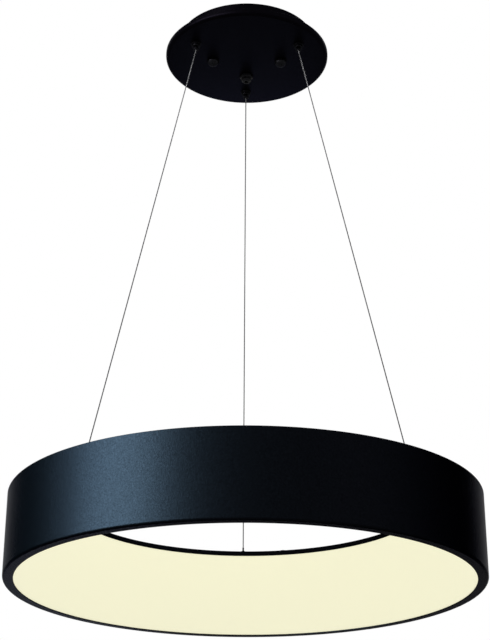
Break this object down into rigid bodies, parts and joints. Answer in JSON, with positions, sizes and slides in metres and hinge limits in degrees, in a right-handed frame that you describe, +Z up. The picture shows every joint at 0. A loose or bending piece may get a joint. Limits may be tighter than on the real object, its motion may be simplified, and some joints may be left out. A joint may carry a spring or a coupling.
{
  "type": "led ring chandelier",
  "caption": "Ring-shaped pendant light: a deep black band with an opal conical diffuser inside, hung on slanted steel wires from a small round ceiling canopy.",
  "frame": {"origin": "centre of the mounting plate's upper face, on the ceiling", "axes": "+Z up, away from the lamp and into the ceiling; +Y towards the first suspension wire"},
  "size_m": [0.6, 0.6, 0.804],
  "materials": {
    "black_coat": "satin powder coat, fine grain",
    "black_metal": "black anodised, satin",
    "opal": "opal acrylic, smooth satin, lit warm white",
    "white_paint": "matt white reflector paint",
    "raw_aluminium": "mill finish sheet",
    "board_white": "white solder mask",
    "phosphor": "yellow phosphor chip",
    "zinc": "zinc plated",
    "wire_steel": "stranded stainless wire",
    "spring_steel": "bright spring steel",
    "brass": "plain brass",
    "black_nylon": "moulded nylon, fine texture",
    "black_rubber": "moulded rubber",
    "white_nylon": "moulded nylon",
    "driver_case": "moulded case",
    "circuit_green": "green board with parts",
    "lead_white": "insulated lead",
    "lead_brown": "insulated lead",
    "lead_green": "earth lead, green and yellow"
  },
  "bodies": {
    "canopy": {"canopy_drum": "black_coat", "canopy_top_ring": "black_coat", "canopy_pan": "black_coat", "cap_nut_left": "black_metal", "cap_nut_right": "black_metal", "gripper_barrel_1": "black_metal", "gripper_barrel_2": "black_metal", "gripper_barrel_3": "black_metal", "mounting_plate": "zinc", "hanger_studs": "zinc", "hanger_locknuts": "zinc", "gripper_nuts": "zinc", "earth_stud": "zinc", "earth_nut": "zinc", "driver_screws": "zinc", "suspension_wire_1": "wire_steel", "suspension_wire_2": "wire_steel", "suspension_wire_3": "wire_steel", "wire_tails": "wire_steel", "gripper_spring_1": "spring_steel", "gripper_spring_2": "spring_steel", "gripper_spring_3": "spring_steel", "gripper_plugs": "brass", "terminal_screws": "brass", "earth_tag": "brass", "gland_body": "black_nylon", "gland_nose": "black_nylon", "gland_locknut": "black_nylon", "mains_grommet": "black_rubber", "terminal_block": "white_nylon", "driver_base": "driver_case", "driver_cover": "driver_case", "driver_circuit": "circuit_green", "driver_leads": "lead_brown", "earth_lead": "lead_green"},
    "ring": {"outer_band": "black_coat", "top_plate": "black_coat", "plate_brackets": "zinc", "plate_screws": "black_metal", "diffuser": "opal", "diffuser_clips": "spring_steel", "reflector_liner": "white_paint", "led_tray": "raw_aluminium", "tray_studs": "zinc", "tray_nuts": "zinc", "led_boards": "board_white", "led_chips": "phosphor", "board_connectors": "white_nylon", "jumper_leads": "lead_white", "ring_terminal": "white_nylon", "anchor_studs": "zinc", "anchor_nuts": "zinc", "inlet_grommet": "black_rubber"},
    "collar_1": {"release_collar_1": "black_metal", "gripper_jaws_1": "brass"},
    "collar_2": {"release_collar_2": "black_metal", "gripper_jaws_2": "brass"},
    "collar_3": {"release_collar_3": "black_metal", "gripper_jaws_3": "brass"}
  },
  "joints": [
    {"name": "ring_height", "type": "slide", "parent": "canopy", "child": "ring", "axis": [0, 0, 1], "range_m": [0, 0.4], "deforming": ["suspension_wire_1", "suspension_wire_2", "suspension_wire_3"]},
    {"name": "wire_release_1", "type": "slide", "parent": "canopy", "child": "collar_1", "axis": [0, 0, 1], "range_m": [0, 0.0025], "stiffness_N_per_m": 400, "springref_m": -0.002, "deforming": ["gripper_spring_1"]},
    {"name": "wire_release_2", "type": "slide", "parent": "canopy", "child": "collar_2", "axis": [0, 0, 1], "range_m": [0, 0.0025], "stiffness_N_per_m": 400, "springref_m": -0.002, "deforming": ["gripper_spring_2"]},
    {"name": "wire_release_3", "type": "slide", "parent": "canopy", "child": "collar_3", "axis": [0, 0, 1], "range_m": [0, 0.0025], "stiffness_N_per_m": 400, "springref_m": -0.002, "deforming": ["gripper_spring_3"]}
  ]
}
